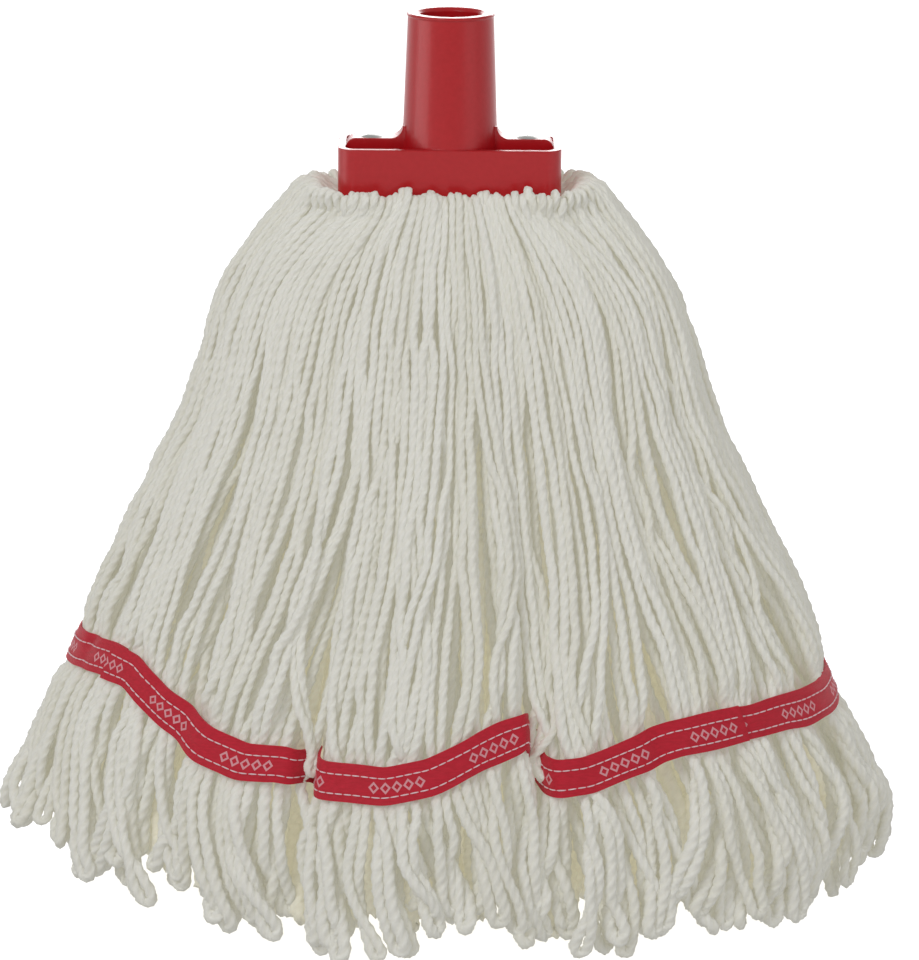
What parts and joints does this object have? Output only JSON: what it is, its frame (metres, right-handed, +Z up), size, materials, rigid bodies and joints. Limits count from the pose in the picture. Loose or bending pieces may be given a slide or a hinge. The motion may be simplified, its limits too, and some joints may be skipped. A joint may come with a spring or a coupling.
{
  "type": "string mop head",
  "caption": "String mop head: tapered handle socket on a riveted yarn tray, with a bell-shaped skirt of looped yarn and a sewn tail band that swings under the clamp.",
  "frame": {"origin": "on the socket's axis, at the bottom of the bore, where the end of the handle seats", "axes": "+Z up along the handle, X along the tray, -Y towards the front"},
  "size_m": [0.346, 0.2238, 0.3645],
  "materials": {
    "red_plastic": "glossy moulded",
    "steel": "bright",
    "zinc_plate": "zinc plated",
    "yarn": "soft twisted yarn",
    "tape": "woven tape",
    "thread": "sewing thread"
  },
  "bodies": {
    "head": {"socket_head": "red_plastic", "rivet_left": "steel", "rivet_right": "steel", "clamp_plate": "zinc_plate", "yarn_root": "yarn"},
    "skirt": {"outer_lock_1": "yarn", "outer_lock_2": "yarn", "outer_lock_3": "yarn", "outer_lock_4": "yarn", "outer_lock_5": "yarn", "outer_lock_6": "yarn", "outer_lock_7": "yarn", "outer_lock_8": "yarn", "outer_lock_9": "yarn", "outer_lock_10": "yarn", "outer_lock_11": "yarn", "outer_lock_12": "yarn", "outer_lock_13": "yarn", "outer_lock_14": "yarn", "outer_lock_15": "yarn", "outer_lock_16": "yarn", "outer_lock_17": "yarn", "outer_lock_18": "yarn", "outer_lock_19": "yarn", "outer_lock_20": "yarn", "outer_lock_21": "yarn", "outer_lock_22": "yarn", "inner_front_lock_1": "yarn", "inner_front_lock_2": "yarn", "inner_front_lock_3": "yarn", "inner_front_lock_4": "yarn", "inner_front_lock_5": "yarn", "inner_back_lock_1": "yarn", "inner_back_lock_2": "yarn", "inner_back_lock_3": "yarn", "inner_back_lock_4": "yarn", "inner_back_lock_5": "yarn", "tail_band_front": "tape", "tail_band_back": "tape", "band_stitching_front": "thread", "band_stitching_back": "thread"}
  },
  "joints": [
    {"name": "skirt_swing", "type": "hinge", "parent": "head", "child": "skirt", "pos_m": [0, 0, -0.016], "axis": [1, 0, 0], "range_deg": [-30, 30]}
  ]
}
